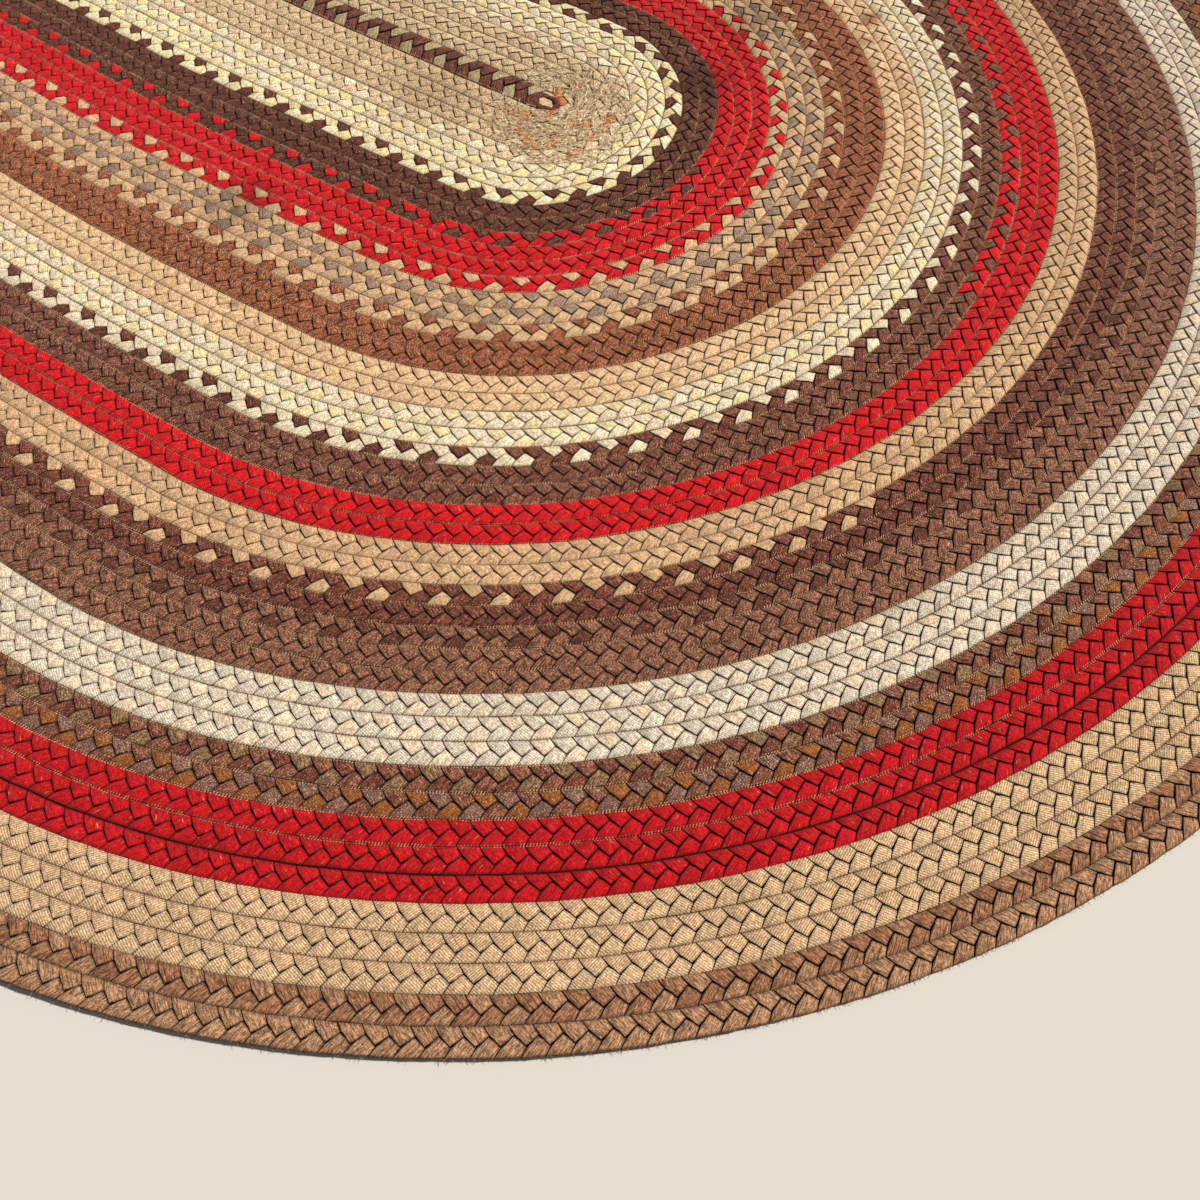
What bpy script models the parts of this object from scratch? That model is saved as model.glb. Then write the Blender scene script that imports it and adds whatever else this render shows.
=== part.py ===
"""Oval braided rug, in metres, +Z up. One three-strand braid, wound in a flat spiral and sewn row to row.

The braid starts with a round butt at the +X end of the centre line, runs to the -X end, turns counter-clockwise seen
from above, and goes round LAPS times. Every row is a raised rib with a groove on each side, and the underside is flat.
"""

import math

import bpy

# Driving sizes
ROW = 0.0286  # width of one braid row
LAPS = 47  # rows outside the centre row
CENTRE = 0.914  # length of the centre row, from turning point to turning point
CROWN = 0.0115  # thickness on a row's crown
GROOVE = 0.0080  # thickness in the groove between two rows
SHOULDER = 0.24  # where a rib's flat crown starts, as a share of the row
RIM_LOW = 0.0030  # height of the outer edge's lower corner
RIM_IN = 0.0035  # how far the underside stops inside the outer edge
TAIL = math.radians(24)  # the turn over which the last row runs out to nothing
SAG = 0.0036  # how far a straight segment may leave its arc
RUN_STEPS = 3  # segments on each straight side

# How far hand sewing has pushed the rows outward, in rows. A row of the table is a place along a lap: below 0 it counts
# rows' widths back from the +X turn along the -Y side, 0 to 180 is degrees of the turn, and above 180 it counts rows'
# widths on along the +Y side. A column is a distance from the centre line in rows.
PUSH_COLUMNS = (0.0, 9.5, 15.0, 20.0, 27.5, 36.0, 47.5)
PUSH = (
    (-32, (0.0, 0.0, 0.0, 0.0, 0.0, 0.0, 0.0)),
    (-20, (0.0, 0.4, 0.8, 1.0, 1.1, 0.9, 0.5)),
    (-10, (0.0, 0.5, 0.95, 1.4, 1.7, 1.6, 1.2)),
    (5, (0.0, 0.4, 0.65, 1.0, 1.3, 1.2, 1.1)),
    (20, (0.0, 0.5, 0.55, 0.65, 0.65, 0.3, 0.35)),
    (35, (0.0, 0.25, 0.2, 0.3, 0.15, -0.25, -0.2)),
    (50, (0.0, -0.1, -0.2, 0.05, -0.15, -0.4, -0.45)),
    (70, (0.0, -0.2, -0.3, 0.05, -0.2, -0.4, -0.5)),
    (100, (0.0, -0.2, -0.4, 0.1, 0.0, -0.2, -0.4)),
    (140, (0.0, -0.15, -0.5, -0.1, 0.0, -0.05, -0.15)),
    (180, (0.0, -0.2, -0.4, -0.3, -0.1, 0.05, 0.1)),
    (212, (0.0, 0.0, 0.0, 0.0, 0.0, 0.0, 0.0)),
)
PUSH_BLUR = (-9.0, -6.0, -3.0, 0.0, 3.0, 6.0, 9.0)  # places averaged, so that the rows bend softly


def between(x, xs, ys):
    """Straight-line reading of a table."""
    if x <= xs[0]:
        return ys[0]
    for x0, x1, y0, y1 in zip(xs, xs[1:], ys, ys[1:]):
        if x <= x1:
            return y0 + (y1 - y0) * (x - x0) / (x1 - x0)
    return ys[-1]


def pushed(x, y):
    """The point of the sewn rug that the point of the plain oval moves to."""
    ahead = x - CENTRE / 2
    if ahead > 0:
        far = math.hypot(ahead, y)
        place = math.degrees(math.atan2(y, ahead)) + 90
        out = (ahead / far, y / far) if far > 1e-9 else (1.0, 0.0)
    else:
        far = abs(y)
        place = ahead / ROW if y < 0 else 180 - ahead / ROW
        out = (0.0, -1.0 if y < 0 else 1.0)
    shares = [between(far / ROW, PUSH_COLUMNS, row) for _, row in PUSH]
    places = [at for at, _ in PUSH]
    amount = ROW * sum(between(place + b, places, shares) for b in PUSH_BLUR) / len(PUSH_BLUR)
    return x + out[0] * amount, y + out[1] * amount


def steps_for(radius):
    """Segments of a half turn, in twos."""
    return max(6, 2 * math.ceil(math.pi / 4 * math.sqrt(max(radius, 0.0) / (2 * SAG))))


def arc(cx, cy, radius, start, end, steps):
    turn = [math.radians(start + (end - start) * i / steps) for i in range(steps + 1)]
    return [(cx + radius * math.cos(a), cy + radius * math.sin(a)) for a in turn]


def run(x0, x1, y):
    return [(x0 + (x1 - x0) * i / RUN_STEPS, y) for i in range(RUN_STEPS + 1)]


def lap_line(q):
    """The line q rows out of the spiral, as its four stretches: -X turn, -Y side, +X turn, +Y side."""
    half = CENTRE / 2
    band = math.ceil(q - 1e-9)  # both edges of one row have as many points wherever they can
    return (
        arc(-half, -ROW / 2, q * ROW, 90, 270, steps_for(band * ROW)),
        run(-half, half, -(q + 0.5) * ROW),
        arc(half, 0, (q + 0.5) * ROW, -90, 90, steps_for(band * ROW)),
        run(half, -half, (q + 0.5) * ROW),
    )


class Skin:
    """A mesh built from points, with equal points made one."""

    def __init__(self):
        self.index = {}
        self.points = []
        self.faces = []

    def at(self, x, y, z):
        x, y = pushed(x, y)
        key = (round(x * 1e6), round(y * 1e6), round(z * 1e6))
        if key not in self.index:
            self.index[key] = len(self.points)
            self.points.append((x, y, z))
        return self.index[key]

    def face(self, *corners):
        kept = [c for i, c in enumerate(corners) if c != corners[i - 1]]
        if len(set(kept)) > 2:
            self.faces.append(kept)

    def strip(self, inner, z_in, outer, z_out):
        """Triangles or quads between two lines that run side by side, the outer one on the right of the way."""
        a = [self.at(x, y, z_in) for x, y in inner]
        b = [self.at(x, y, z_out) for x, y in outer]
        if len(a) == len(b):
            for i in range(len(a) - 1):
                self.face(a[i], b[i], b[i + 1], a[i + 1])
            return
        i = j = 0
        while i < len(a) - 1 or j < len(b) - 1:
            if j == len(b) - 1 or (i < len(a) - 1 and (i + 1) * (len(b) - 1) <= (j + 1) * (len(a) - 1)):
                self.face(a[i], b[j], a[i + 1])
                i += 1
            else:
                self.face(a[i], b[j], b[j + 1])
                j += 1


def braided_rug():
    skin = Skin()
    half = CENTRE / 2
    rib = ((0.0, GROOVE), (SHOULDER, CROWN), (1 - SHOULDER, CROWN), (1.0, GROOVE))

    # The laps' ribs
    for lap in range(1, LAPS + 1):
        lines = [(lap_line(lap - 1 + share), z) for share, z in rib]
        for (inner, z_in), (outer, z_out) in zip(lines, lines[1:]):
            for part_in, part_out in zip(inner, outer):
                skin.strip(part_in, z_in, part_out, z_out)

    # The centre row, from the butt at +X to the tight turn at -X
    across = [(-0.5 + share, z) for share, z in rib]
    for (y0, z0), (y1, z1) in zip(across, across[1:]):
        skin.strip(run(-half, half, y1 * ROW), z1, run(-half, half, y0 * ROW), z0)
    butt = arc(half, 0, ROW / 2, -90, 90, steps_for(0))
    crown = arc(half, 0, ROW * (0.5 - SHOULDER), -90, 90, steps_for(0))
    skin.strip(crown, CROWN, butt, GROOVE)
    skin.face(*[skin.at(x, y, CROWN) for x, y in crown])

    # The tail: the next lap's rib, over the start of the -X turn only
    steps = 6

    def tail_line(share):
        line = []
        for i in range(steps + 1):
            a = math.pi / 2 + TAIL * i / steps
            r = (LAPS + share * (1 - i / steps)) * ROW
            line.append((-half + r * math.cos(a), -ROW / 2 + r * math.sin(a)))
        return line

    # The outermost finished row's own points go on beyond the tail, so that stretch is laid again with the tail's points
    turn_steps = steps_for(LAPS * ROW)
    rest = [p for p in lap_line(LAPS)[0]]
    joint = TAIL / math.pi * turn_steps  # where the tail ends, counted in segments
    first = math.ceil(joint - 1e-9)
    beyond = [tail_line(0.0)[-1]] + (rest[first + 1 :] if first - joint < 0.3 else rest[first:])

    # The last lap's outer shoulder meets that laid edge, so its -X turn strip is made again
    shoulder = lap_line(LAPS - SHOULDER)[0]
    old = [skin.at(x, y, GROOVE) for x, y in rest]
    drop = set(old[1:-1])
    skin.faces = [f for f in skin.faces if not drop & set(f)]
    a = [skin.at(x, y, CROWN) for x, y in shoulder]
    edge_points = tail_line(0.0) + beyond[1:]
    b = [skin.at(x, y, GROOVE) for x, y in edge_points]

    def way(x, y):
        return math.atan2(-(x + half), y + ROW / 2)

    wa = [way(x, y) for x, y in shoulder[:-1]] + [math.pi]
    wb = [way(x, y) for x, y in edge_points[:-1]] + [math.pi]
    i = j = 0
    while i < len(a) - 1 or j < len(b) - 1:
        if j == len(b) - 1 or (i < len(a) - 1 and wa[i + 1] <= wb[j + 1]):
            skin.face(a[i], b[j], a[i + 1])
            i += 1
        else:
            skin.face(a[i], b[j], b[j + 1])
            j += 1

    lines = [(tail_line(share), z) for share, z in rib]
    for (inner, z_in), (outer, z_out) in zip(lines, lines[1:]):
        last = len(inner) - 1
        a = [skin.at(x, y, z_in) for x, y in inner[:last]]
        b = [skin.at(x, y, z_out) for x, y in outer[:last]]
        tip = skin.at(*inner[last], GROOVE)
        for k in range(last - 1):
            skin.face(a[k], b[k], b[k + 1], a[k + 1])
        skin.face(a[-1], b[-1], tip)

    # The outer edge all round, down to the flat underside
    outline = tail_line(1.0)[:-1] + beyond
    for part_line in lap_line(LAPS)[1:]:
        outline += part_line[1:]
    outline = outline[:-1]

    def inset(by):
        ring = []
        for k, (x, y) in enumerate(outline):
            (x0, y0), (x1, y1) = outline[k - 1], outline[(k + 1) % len(outline)]
            dx, dy = x1 - x0, y1 - y0
            size = math.hypot(dx, dy)
            ring.append((x - dy / size * by, y + dx / size * by))
        return ring

    def ring_of(points, z):
        return [skin.at(x, y, z) for x, y in points]

    rings = [ring_of(outline, GROOVE), ring_of(outline, RIM_LOW), ring_of(inset(RIM_IN), 0.0)]
    for upper, lower in zip(rings, rings[1:]):
        for k in range(len(outline)):
            n = (k + 1) % len(outline)
            skin.face(upper[k], lower[k], lower[n], upper[n])
    skin.face(*reversed(rings[-1]))

    # The origin goes below the middle of the rug's box
    xs, ys = [p[0] for p in skin.points], [p[1] for p in skin.points]
    mx, my = (min(xs) + max(xs)) / 2, (min(ys) + max(ys)) / 2
    mesh = bpy.data.meshes.new("braided_rug")
    mesh.from_pydata([(x - mx, y - my, z) for x, y, z in skin.points], [], skin.faces)
    mesh.validate()
    return mesh, (mx, my)


for old_object in list(bpy.data.objects):
    bpy.data.objects.remove(old_object, do_unlink=True)

mesh, middle = braided_rug()
print("middle of the box, from the plain oval's middle: %.6f %.6f" % middle)
rug = bpy.data.objects.new("braided_rug", mesh)
bpy.context.scene.collection.objects.link(rug)

cloth = bpy.data.materials.new("braided_wool")
cloth.use_nodes = True
shader = cloth.node_tree.nodes["Principled BSDF"]
shader.inputs["Base Color"].default_value = (0.30, 0.19, 0.12, 1.0)
shader.inputs["Roughness"].default_value = 0.95
mesh.materials.append(cloth)
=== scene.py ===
"""Looks of an oval braided rug: one plait of three wool strands, wound in a flat spiral and sewn row to row.

Metres, +Z up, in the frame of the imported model: the rug lies on z = 0 with its box's middle at the origin.
The plait is made of lobes, the places where a strand shows between two crossings. A lobe is modelled once for
each side of a row, and a Geometry Nodes tree lays all of them along the wound path.
"""

import math
from functools import partial

import bpy
import numpy as np
from mathutils import Matrix, Vector


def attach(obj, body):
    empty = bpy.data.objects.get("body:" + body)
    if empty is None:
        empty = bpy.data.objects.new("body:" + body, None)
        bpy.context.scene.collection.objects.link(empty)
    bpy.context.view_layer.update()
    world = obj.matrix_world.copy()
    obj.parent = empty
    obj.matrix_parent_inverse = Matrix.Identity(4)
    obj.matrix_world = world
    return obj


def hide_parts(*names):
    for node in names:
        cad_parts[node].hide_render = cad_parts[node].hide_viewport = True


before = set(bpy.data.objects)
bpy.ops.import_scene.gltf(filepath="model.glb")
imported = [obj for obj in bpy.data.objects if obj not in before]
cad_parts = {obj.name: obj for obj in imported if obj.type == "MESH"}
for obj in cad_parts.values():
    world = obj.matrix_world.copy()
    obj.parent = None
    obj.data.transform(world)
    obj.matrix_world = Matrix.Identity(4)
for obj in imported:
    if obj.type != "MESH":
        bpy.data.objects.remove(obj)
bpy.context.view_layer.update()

NODE = "braided_rug"
MM = 0.001
SEED = 29

# The wound path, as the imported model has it
ROW = 0.0286  # width of one row
LAPS = 47  # rows outside the centre row
CENTRE = 0.914  # length of the centre row, from turning point to turning point
TAIL = math.radians(24)  # the turn over which the last row runs out to nothing
MIDDLE = (0.000953, -0.014679)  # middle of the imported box, from the middle of the plain oval
PATH_STEP = 0.009  # distance between the path's points on a turn
SIDE_STEP = 0.020  # and on a straight side
LAP_START = -1000  # place of a lap's first stretch, the -X turn
TURN_START = 90  # degrees at which that turn starts, which are added to LAP_START
TURN_BELOW = -500  # only the places of the -X turn are below this
LEAST_STEPS = 8  # fewest points of a turn
BUTT_POINTS = 9  # points round the butt at the centre row's end, the last being the row's own first one
BUTT_START = 0.05  # its first point's angle, just off the tip, where the row would have no width

# How far hand sewing has pushed the rows outward, in rows. A row of the table is a place along a lap:
# below 0 it counts rows' widths back from the +X turn along the -Y side, 0 to 180 is degrees of the turn,
# and above 180 it counts rows' widths on along the +Y side. A column is a distance from the centre line
# in rows.
PUSH_COLUMNS = (0.0, 9.5, 15.0, 20.0, 27.5, 36.0, 47.5)
PUSH = (
    (-32, (0.0, 0.0, 0.0, 0.0, 0.0, 0.0, 0.0)),
    (-20, (0.0, 0.4, 0.8, 1.0, 1.1, 0.9, 0.5)),
    (-10, (0.0, 0.5, 0.95, 1.4, 1.7, 1.6, 1.2)),
    (5, (0.0, 0.4, 0.65, 1.0, 1.3, 1.2, 1.1)),
    (20, (0.0, 0.5, 0.55, 0.65, 0.65, 0.3, 0.35)),
    (35, (0.0, 0.25, 0.2, 0.3, 0.15, -0.25, -0.2)),
    (50, (0.0, -0.1, -0.2, 0.05, -0.15, -0.4, -0.45)),
    (70, (0.0, -0.2, -0.3, 0.05, -0.2, -0.4, -0.5)),
    (100, (0.0, -0.2, -0.4, 0.1, 0.0, -0.2, -0.4)),
    (140, (0.0, -0.15, -0.5, -0.1, 0.0, -0.05, -0.15)),
    (180, (0.0, -0.2, -0.4, -0.3, -0.1, 0.05, 0.1)),
    (212, (0.0, 0.0, 0.0, 0.0, 0.0, 0.0, 0.0)),
)
PUSH_BLUR = (-9.0, -6.0, -3.0, 0.0, 3.0, 6.0, 9.0)  # places averaged, so that the rows bend softly

# The centre row is braided full and loose, which pushes the rows round it further out. Laid out as the
# table above
FULL_COLUMNS = (0.0, 0.5, 2.0, 5.0, 8.0, 11.0, 14.0, 20.0, 26.0)
FULL_CENTRE = (
    (-32, (0.0, 0.0, 0.0, 0.0, 0.0, 0.0, 0.0, 0.0, 0.0)),
    (-24, (0.0, 0.38, 0.65, 0.70, 0.75, 0.55, 0.45, 0.40, 0.0)),
    (-14, (0.0, 0.38, 0.62, 0.65, 0.62, 0.45, 0.38, 0.38, 0.0)),
    (-8, (0.0, 0.36, 0.50, 0.42, 0.36, 0.30, 0.20, 0.30, 0.0)),
    (-2, (0.0, 0.30, 0.42, 0.42, 0.22, 0.15, 0.0, 0.12, 0.0)),
    (5, (0.0, 0.28, 0.36, 0.36, 0.18, 0.03, 0.0, 0.0, 0.0)),
    (60, (0.0, 0.25, 0.30, 0.33, 0.24, 0.02, 0.10, 0.03, 0.0)),
    (110, (0.0, 0.20, 0.22, 0.24, 0.14, 0.06, 0.14, 0.0, 0.0)),
    (180, (0.0, 0.25, 0.42, 0.42, 0.28, 0.12, 0.15, 0.0, 0.0)),
    (202, (0.0, 0.25, 0.38, 0.38, 0.25, 0.10, 0.10, 0.0, 0.0)),
    (212, (0.0, 0.0, 0.0, 0.0, 0.0, 0.0, 0.0, 0.0, 0.0)),
)

# The plait. A lobe is set out in rows: x along the braid, y across the row with the rug's middle at +0.5
CROSSING = 0.418  # distance from one crossing to the next, in rows
LOBE_LENGTH = 2 * CROSSING
CENTRE_PITCH = 0.927  # how much closer the centre row's crossings are

# A strand's rear edge runs from the row's edge to its bend, over its crest and on to the other column's
# bend
OUTER_COLUMN = {"bend": (0.200, -0.185), "crest": (0.395, -0.005)}
INNER_COLUMN = {"bend": (0.215, -0.190), "crest": (0.410, -0.015)}
TIP_CUT = (0.030, 0.020)  # how far a strand's tip stops short of the other column's bend

# One lobe's rings, corner by corner, in mm: the foot of its side, its shoulder and its crown. A gap or an
# inset is how far that ring stays inside the outline on the stretch from this corner to the next. Rim is
# how dark the shoulder is painted: painted shade where the lobe turns down into a crevice.
LOBE_COLUMNS = ("corner", "foot", "gap", "shoulder", "shoulder inset", "rim", "crown", "crown inset")
LOBE = (
    ("edge, rear", 8.4, 0.02, 9.0, 0.15, 0.10, 10.7, 3.6),
    ("edge, front", 8.0, 0.25, 8.8, 0.60, 0.14, 10.4, 2.2),
    ("next bend", 7.0, 0.25, 9.9, 0.68, 0.30, 10.4, 2.2),
    ("other crest", 7.0, 0.25, 10.1, 0.68, 0.30, 10.7, 2.2),
    ("tip", 7.0, 0.28, 10.5, 0.72, 0.30, 11.0, 2.2),
    ("crest", 7.0, 0.28, 11.2, 0.72, 0.24, 11.6, 2.2),
    ("bend", 7.6, 0.25, 10.9, 0.64, 0.24, 11.5, 2.2),
)
CROWN_CORNERS = (0, 1, 2, 4, 6)  # the outline's corners that the crown keeps
NEARLY_STRAIGHT = 0.05  # sine of a corner's turn, below which its point is simply halfway
PAD_EDGE = 1.7  # height of the underside's pad at its edge, in mm
PAD_EDGE_SHADE = 0.6  # and how dark it is painted there: painted shade at the pad's edge
STRAND_TURN = math.radians(50)  # direction of a strand over the row's outer half

# A strand's outer side on the rug's edge: y in rows and height in mm, then share of its length and how
# far it is drawn in there, in mm
EDGE_PROFILE = ((-0.462, 9.9), (-0.497, 8.6), (-0.512, 5.4), (-0.495, 2.4), (-0.44, 0.9))
EDGE_STATIONS = ((0.0, 0.35), (0.12, 0.05), (0.5, -0.15), (0.88, 0.05), (1.0, 0.35))
EDGE_END_SHADE = 0.3  # how dark the ends of that side are painted: painted shade

# How the rows lie
UNEVENNESS = 3.0 * MM  # full range of a place's straying from the even spiral
UNEVEN_WIDTH = 26 * MM  # size of the unevenness
UNEVEN_WAY = (1.0, 1.0, 0.4)  # its share along each axis
LIFT_SPREAD = 0.22 * MM  # how much higher or lower single lobes lie
LIFTED = (3 * MM, 10 * MM)  # a lobe's lift grows between these heights, so its foot stays down
OPEN_SEAM_DEPTH = 1.6 * MM
OPEN_SEAM_FROM = 0.3  # distance from the row's middle, in rows, where it starts to sink into an open seam
OPEN_SEAM_IN = 0.02  # and the share of it by which the row's edge draws back
ON_FLOOR = (-100.0, -100.0, 0.0)  # lowest value along each axis: only z has a real limit

# The core, as the sheet under all lobes, painted near black: painted shade, as it only shows deep between
# them
CORE_TOP = 7.5 * MM
CORE_FOOT = 2.4 * MM
CORE_INSET = 5.0 * MM
CORE_STEP = 6  # it uses one in so many of the path's points

# Blender's nodes that are used over and over, with their settings
TIMES = "ShaderNodeMath operation=MULTIPLY"
PLUS = "ShaderNodeMath operation=ADD"
MINUS = "ShaderNodeMath operation=SUBTRACT"
OVER = "ShaderNodeMath operation=DIVIDE"
TIMES_PLUS = "ShaderNodeMath operation=MULTIPLY_ADD"
POWER = "ShaderNodeMath operation=POWER"
HIGHER = "ShaderNodeMath operation=MAXIMUM"
ABSOLUTE = "ShaderNodeMath operation=ABSOLUTE"
FRACTION = "ShaderNodeMath operation=FRACT"
FLOOR = "ShaderNodeMath operation=FLOOR"
SINE = "ShaderNodeMath operation=SINE"
ABOVE = "ShaderNodeMath operation=GREATER_THAN"
SAME = "FunctionNodeCompare data_type=INT operation=EQUAL"
RANGE = "ShaderNodeMapRange"
SMOOTH = "ShaderNodeMapRange interpolation_type=SMOOTHSTEP"
XYZ = "ShaderNodeCombineXYZ"
NOISE = "ShaderNodeTexNoise"
MIX = "ShaderNodeMix data_type=RGBA"
READ = "ShaderNodeAttribute"


def linear(hex_colour):
    """An sRGB hex value as the linear colour that a shader takes."""
    channels = [int(hex_colour[i : i + 2], 16) / 255 for i in (1, 3, 5)]
    return tuple(c / 12.92 if c <= 0.04045 else ((c + 0.055) / 1.055) ** 2.4 for c in channels) + (1.0,)


def add(tree, kind, inputs=(), **settings):
    """Adds a node with its settings and links.

    Kind is Blender's name for it, after which settings may follow, each as name=value. Inputs come in the
    sockets' order, or by name or number. Each is a value, another node's output, or a node, for its first
    output.
    """
    kind, *fixed = kind.split()
    node = tree.nodes.new(kind)
    for name, value in [*(setting.split("=") for setting in fixed), *settings.items()]:
        setattr(node, name, value)
    for key, value in inputs.items() if isinstance(inputs, dict) else enumerate(inputs):
        if isinstance(value, bpy.types.Node):
            value = value.outputs[0]
        if isinstance(value, bpy.types.NodeSocket):
            tree.links.new(value, node.inputs[key])
        else:
            node.inputs[key].default_value = value
    return node


def new_object(name, data):
    """An object with this data, in the scene."""
    made = bpy.data.objects.new(name, data)
    bpy.context.scene.collection.objects.link(made)
    return made


def mesh_object(name, points, faces):
    mesh = bpy.data.meshes.new(name)
    mesh.from_pydata([tuple(map(float, p)) for p in points], [], faces)
    mesh.shade_smooth()
    return new_object(name, mesh)


def matt_material(name, roughness, specular):
    """A new matt material, its tree and its shader."""
    material = bpy.data.materials.new(name)
    material.use_nodes = True
    shader = material.node_tree.nodes["Principled BSDF"]
    shader.inputs["Roughness"].default_value = roughness
    shader.inputs["Specular IOR Level"].default_value = specular
    return material, material.node_tree, shader


def rug_place(x, y):
    """A place of the plain oval in the model's frame."""
    return x - MIDDLE[0], y - MIDDLE[1]


# ---- The wound path ----


def pushed_by(table, columns, rows_out, place):
    """A push table's value at each point, in rows, blurred along the lap."""
    places = np.array([at for at, _ in table], float)
    shares = np.array([np.interp(rows_out, columns, row) for _, row in table])
    point = np.arange(len(rows_out))
    total = np.zeros(len(rows_out))
    for blur in PUSH_BLUR:
        at = np.clip(place + blur, places[0], places[-1])
        k = np.clip(np.searchsorted(places, at, side="right") - 1, 0, len(places) - 2)
        share = (at - places[k]) / (places[k + 1] - places[k])
        total += shares[k, point] * (1 - share) + shares[k + 1, point] * share
    return total / len(PUSH_BLUR)


def pushed(x, y, full_centre):
    """The points of the sewn rug that the points of the plain oval move to."""
    ahead = x - CENTRE / 2
    turning = ahead > 0
    far = np.where(turning, np.hypot(ahead, y), np.abs(y))
    on_turn = np.degrees(np.arctan2(y, ahead)) + 90
    on_side = np.where(y < 0, ahead / ROW, 180 - ahead / ROW)
    place = np.where(turning, on_turn, on_side)
    safe = np.maximum(far, 1e-9)  # never nothing, so that it can divide
    out_x = np.where(turning, ahead / safe, 0.0)
    out_y = np.where(turning, y / safe, np.where(y < 0, -1.0, 1.0))
    amount = pushed_by(PUSH, PUSH_COLUMNS, far / ROW, place)
    if full_centre:
        amount += pushed_by(FULL_CENTRE, FULL_COLUMNS, far / ROW, place)
    return x + out_x * amount * ROW, y + out_y * amount * ROW


def turn(centre_x, centre_y, inner, outer, start, end):
    """Inner and outer points of a row on a turn, from angle to angle without the last, and their angles."""
    count = max(LEAST_STEPS, math.ceil(abs(end - start) * (inner + outer) / 2 / PATH_STEP))
    a = start + (end - start) * np.arange(count) / count
    rings = [(centre_x + r * np.cos(a), centre_y + r * np.sin(a)) for r in (inner, outer)]
    return *rings, a


def straight(x0, x1, y_inner, y_outer):
    """Inner and outer points of a row on a straight side, without the last, and their x."""
    count = math.ceil(abs(x1 - x0) / SIDE_STEP)
    x = x0 + (x1 - x0) * np.arange(count) / count
    return (x, np.full(count, y_inner)), (x, np.full(count, y_outer)), x


def wound_path(full_centre):
    """The path's points, the vector from a row's outer to its inner edge, and each point's lap and place."""
    half = CENTRE / 2
    quarter = math.pi / 2
    stretches = []  # inner points, outer points, lap, places

    # The butt, where the half width grows from nothing, and the centre row
    reach = ROW / 2 * np.cos(np.linspace(BUTT_START, quarter, BUTT_POINTS)[:-1])
    width = np.sqrt((ROW / 2) ** 2 - reach**2)
    stretches.append(((half + reach, -width), (half + reach, width), 0, np.full(len(reach), 90.0)))
    inner, outer, x = straight(half, -half, -ROW / 2, ROW / 2)
    stretches.append((inner, outer, 0, 180 + (half - x) / ROW))

    for lap in range(1, LAPS + 1):
        near, far = (lap - 0.5) * ROW, (lap + 0.5) * ROW
        inner, outer, a = turn(-half, -ROW / 2, (lap - 1) * ROW, lap * ROW, quarter, 3 * quarter)
        stretches.append((inner, outer, lap, LAP_START + np.degrees(a)))
        inner, outer, x = straight(-half, half, -near, -far)
        stretches.append((inner, outer, lap, (x - half) / ROW))
        inner, outer, a = turn(half, 0, near, far, -quarter, quarter)
        stretches.append((inner, outer, lap, 90 + np.degrees(a)))
        inner, outer, x = straight(half, -half, near, far)
        stretches.append((inner, outer, lap, 180 + (half - x) / ROW))

    # The tail, whose width runs out
    inner, outer, a = turn(-half, -ROW / 2, LAPS * ROW, LAPS * ROW, quarter, quarter + TAIL)
    radius = (LAPS + 1 - np.arange(len(a)) / len(a)) * ROW
    outer = (-half + radius * np.cos(a), -ROW / 2 + radius * np.sin(a))
    stretches.append((inner, outer, LAPS + 1, LAP_START + np.degrees(a)))

    edges = []
    for side in (0, 1):
        x = np.concatenate([s[side][0] for s in stretches])
        y = np.concatenate([s[side][1] for s in stretches])
        x, y = rug_place(*pushed(x, y, full_centre))
        edges.append(np.stack([x, y], axis=1))
    inner, outer = edges
    laps = np.concatenate([np.full(len(s[3]), s[2]) for s in stretches])
    places = np.concatenate([s[3] for s in stretches])
    return (inner + outer) / 2, inner - outer, laps, places


def distances(points):
    """How far along the line each of its points is."""
    return np.concatenate([[0.0], np.cumsum(np.hypot(*np.diff(points, axis=0).T))])


path, across, path_laps, path_places = wound_path(full_centre=True)
walked = distances(path)
even_walked = distances(wound_path(full_centre=False)[0])  # before the full centre row stretches the others


def path_object():
    """The path as a line of edges, with the vector across the row as an attribute."""
    mesh = bpy.data.meshes.new("wound_path")
    steps = [(i, i + 1) for i in range(len(path) - 1)]
    mesh.from_pydata([(x, y, 0.0) for x, y in path.tolist()], steps, [])
    values = np.column_stack([across, np.zeros(len(across))]).astype(np.float32)
    mesh.attributes.new("across", "FLOAT_VECTOR", "POINT").data.foreach_set("vector", values.ravel())
    return new_object("wound_path", mesh)


def on_edge(laps, places):
    """Which places have no row outside them: those of the tail, and of the last lap beyond the tail."""
    beside_tail = places < LAP_START + TURN_START + math.degrees(TAIL)
    return (laps > LAPS) | ((laps == LAPS) & ~beside_tail)


# ---- The strips' cloths, and where each is braided in ----

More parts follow.
